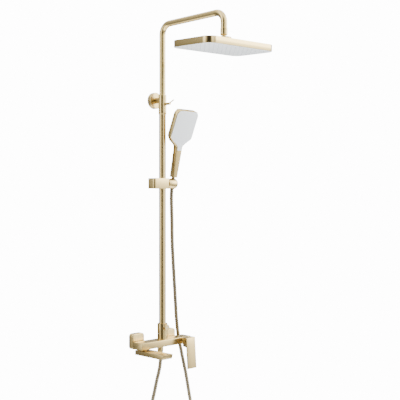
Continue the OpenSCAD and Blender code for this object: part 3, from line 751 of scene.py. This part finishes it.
def makeHandset():
    s = handsetSettings
    stations = s["handle"] + paddleStations(
        s["shellHalf"], 0.015, s["top"], s["shellCorner"], -0.0107, 0.0094, -0.037, 0.0063)
    shell = loft("handsetBody", stations)
    edit(shell, "EDGE", isLongEdge)
    bpy.ops.mesh.bevel(offset=0.0032, segments=4, affect="EDGES")
    endEdit()
    leanFace(shell)
    seat(shell, handsetSeat)
    finishPiece(shell, "handset", "gold_plated_abs", "goldUpright", "handset_shell", smoothBelow=40)
    stations = paddleStations(
        s["faceHalf"], s["tailHalf"], s["top"] - 0.0021, s["faceCorner"], -0.0122, -0.0100, -0.036, -0.0100)
    face = loft("handsetPaddleFace", stations)
    edit(face, "EDGE", lambda e: all(v.co.y < -0.012 for v in e.verts) and isSharp(e))
    bpy.ops.mesh.bevel(offset=0.0008, segments=3, affect="EDGES")
    endEdit()
    leanFace(face)
    seat(face, handsetSeat)
    finishPiece(face, "handset", "white_abs", "whiteShell", "handset_face", smoothBelow=40)


def nozzle(name, radius, place, reach, sides=12):
    # one soft nozzle: a tapered stub with a dimpled mouth, pointing down
    x, y, z = place
    clearPick()
    bpy.ops.mesh.primitive_cone_add(
        vertices=sides, radius1=radius * 0.72, radius2=radius, depth=reach, location=(x, y, z - reach / 2))
    piece = bpy.context.object
    piece.name = name
    applyPlace(piece)
    edit(piece, "FACE", lambda f: f.normal.z < -0.9)
    bpy.ops.mesh.inset(thickness=radius * 0.3)
    bpy.ops.mesh.extrude_region_move(TRANSFORM_OT_translate={"value": (0, 0, reach * 0.4)})
    endEdit()
    return piece


def repeat(piece, counts, pitch):
    for axis in (0, 1):
        pickOnly(piece)
        rows = piece.modifiers.new("rows", "ARRAY")
        rows.count = counts[axis]
        rows.use_relative_offset = False
        rows.use_constant_offset = True
        rows.constant_offset_displace = [pitch if k == axis else 0 for k in range(3)]
        bpy.ops.object.modifier_apply(modifier=rows.name)


def makeHandsetNozzles():
    s = handsetSettings
    # laid out flat first, then turned to stand on the leaning face
    nozzles = nozzle("handsetNozzles", 0.0010, (-0.0405, -0.036, 0.0009), 0.0014)
    repeat(nozzles, (10, 9), 0.009)
    hinge = Matrix.Translation((0, s["faceLine"], s["foot"]))
    leaning = hinge @ Matrix.Rotation(math.radians(s["lean"]), 4, "X")
    upright = Matrix.Translation((0, -0.0001, 0.063)) @ Matrix.Rotation(math.radians(-90), 4, "X")
    seat(nozzles, handsetSeat @ leaning @ upright)
    finishPiece(nozzles, "handset", "nozzle_silicone", "paleSilicone", "handset_nozzle_mat")


makeHandset()
makeHandsetNozzles()
print("handset made")


# overhead head

headSettings = {
    "halfWidth": 0.160,
    "halfDepth": 0.090,
    "top": -0.009,
    "low": -0.031,
    "corner": 0.032,
    "wall": 0.0016,
    "hollow": 0.019,
    "faceLow": -0.032,
    "faceTop": -0.029,
    "pitch": 0.020,
}


def makeHead():
    s = headSettings
    x, y = s["halfWidth"], s["halfDepth"]
    shell = block("overheadShell", (-x, -y, s["low"]), (x, y, s["top"]))
    roundAlong(shell, 2, s["corner"], 16)
    edit(shell, "FACE", lambda f: f.normal.z < -0.9)
    bpy.ops.mesh.inset(thickness=s["wall"])
    bpy.ops.mesh.extrude_region_move(TRANSFORM_OT_translate={"value": (0, 0, s["hollow"])})
    endEdit()
    softenEdges(shell, 0.0006, 3, 50)
    collar = rod("overheadCollar", 0.0200, (0, 0, -0.010), (0, 0, -0.0021), 64)
    softenEdges(collar, 0.0005, 2)
    joinInto(shell, collar)
    seat(shell, headSeat)
    finishPiece(shell, "head", "brushed_gold", "goldRim", "head_shell")
    x, y = x - s["wall"] - 0.0001, y - s["wall"] - 0.0001
    face = block("overheadFace", (-x, -y, s["faceLow"]), (x, y, s["faceTop"]))
    roundAlong(face, 2, s["corner"] - s["wall"], 16)
    softenEdges(face, 0.0007, 3, 50)
    seat(face, headSeat)
    finishPiece(face, "head", "white_abs", "whiteShell", "head_face_plate")
    nozzles = nozzle("overheadNozzles", 0.0017, (-0.14, -0.07, -0.0315), 0.0018)
    repeat(nozzles, (15, 8), s["pitch"])
    seat(nozzles, headSeat)
    finishPiece(nozzles, "head", "nozzle_silicone", "paleSilicone", "head_nozzle_mat")


makeHead()
print("overhead head made")


# the remaining nodes keep their own shape and get a finish

nodeFinishes = {
    "goldUpright": ["diverter_housing", "lower_tube", "riser_sleeve", "upper_tube",
                    "ball_stub", "hose_nut", "head_flange"],
    "goldOutward": ["wall_rose", "rose_stem", "lock_lever", "cartridge_cap", "diverter_knob"],
    "shadowGold": ["hose_cone_nut", "handset_connector", "aerator"],
    "rawBrass": ["hot_union", "cold_union", "hot_union_nut", "cold_union_nut", "spout_post", "hose_outlet"],
    "blackRubber": ["union_washers", "spout_o_rings", "hose_washer", "riser_seals",
                    "stub_washer", "head_gasket", "cradle_washer", "handset_washer"],
    "ivoryAcetal": ["cartridge", "check_valve", "diverter_sleeve", "guide_bush",
                    "ball_seat", "slider_bush", "handset_waterway"],
    "turnedSteel": ["cartridge_stem", "lever_grub_screw", "diverter_spindle", "diverter_knob_screw",
                    "rose_plate", "wall_screws", "stem_grub_screw", "slider_screw", "cradle_bolt"],
}

for finish, names in nodeFinishes.items():
    for name in names:
        nodes[name].data.materials.clear()
        nodes[name].data.materials.append(finishes[finish])
print("nodes finished")


# studio: a pale floor and a soft room that the metal reflects

studioSettings = {
    "floor": -0.452,
    "floorRadius": 0.55,
    "backdrop": 14.0,
    "below": 5.2,
    "skirting": 0.5,
    "panel": 11.0,
    "above": 3.2,
    "dimLow": 0.65,
    "dimHigh": 1.75,
    # brightness round the room, by the angle from the viewer's side, clockwise seen from above
    "bands": [
        (-180, 0.35), (-150, 0.25), (-119, 0.3), (-105, 0.3), (-92, 0.35), (-84, 0.5), (-74, 2.6),
        (-64, 3.3), (-55, 2.6), (-43, 1.0), (-33, 0.4), (-22, 0.05), (13, 0.03), (20, 0.5),
        (28, 2.0), (42, 2.0), (55, 1.1), (70, 1.4), (82, 3.2), (90, 3.7), (101, 3.6),
        (119, 1.7), (150, 0.35), (180, 0.35),
    ],
}


def makeStudio():
    s = studioSettings
    clearPick()
    bpy.ops.mesh.primitive_cylinder_add(
        vertices=96, radius=s["floorRadius"], depth=0.02, location=(0, -0.15, s["floor"] - 0.01))
    floor = bpy.context.object
    floor.name = "studioFloor"
    applyPlace(floor)
    softenEdges(floor, 0.004)
    paint = newFinish("studioFloorPaint")
    clouds = paint.spots((3, 3, 3), 2.0)
    tone = paint.mixColours(clouds, (0.78, 0.78, 0.78, 1), (0.82, 0.82, 0.82, 1))
    paint.feed(paint.shader.inputs["Base Color"], tone)
    paint.shader.inputs["Roughness"].default_value = 0.7
    floor.data.materials.append(paint.owner)

    world = bpy.data.worlds.new("studioRoom")
    bpy.context.scene.world = world
    room = Finish(world, "BACKGROUND")
    view = room.node("ShaderNodeTexCoord").outputs["Generated"]
    turn = math.radians(cameraSettings["turn"])
    toViewer = (math.sin(turn), -math.cos(turn), 0)
    toRight = (math.cos(turn), math.sin(turn), 0)

    def along(direction):
        made = room.node("ShaderNodeVectorMath", {"operation": "DOT_PRODUCT"}, {0: view, 1: direction})
        return Signal(room, made.outputs["Value"])

    angle = along(toRight).combine("ARCTAN2", along(toRight), along(toViewer))
    round01 = angle * (0.5 / math.pi) + 0.5
    brightest = max(b for degrees, b in s["bands"])

    def grey(brightness):
        return (brightness / brightest,) * 3 + (1,)

    stops = [((degrees + 180) / 360, grey(b)) for degrees, b in s["bands"]]
    bands = Signal(room, room.node("ShaderNodeValToRGB", {"stops": stops}, {0: round01}).outputs[0])
    height = along((0, 0, 1))
    # the same bands are dimmer near the floor and brighter near the ceiling
    slope = room.node(
        "ShaderNodeMapRange", {}, {0: height, 1: -0.25, 2: 0.25, 3: s["dimLow"], 4: s["dimHigh"]})
    bands = bands * Signal(room, slope.outputs[0])

    def share(low, high):
        smooth = {"interpolation_type": "SMOOTHSTEP"}
        limits = {0: height, 1: low, 2: high, 3: 0, 4: 1}
        return room.node("ShaderNodeMapRange", smooth, limits).outputs[0]

    # a bright panel, high and to the right
    panel = Signal(room, share(0.09, 0.15)) * (round01 > 0.72) * (0.84 > round01)
    lit = room.mixColours(panel, bands, grey(s["panel"]))
    lit = room.mixColours(share(0.45, 0.85), lit, grey(s["above"]))
    lit = room.mixColours(share(-0.25, -0.38), lit, grey(s["skirting"]))
    lit = room.mixColours(share(-0.60, -0.8), lit, grey(s["below"]))
    seen = room.node("ShaderNodeLightPath").outputs["Is Camera Ray"]
    room.feed(room.shader.inputs["Color"], room.mixColours(seen, lit, grey(s["backdrop"])))
    room.shader.inputs["Strength"].default_value = brightest


makeStudio()
print("studio made")
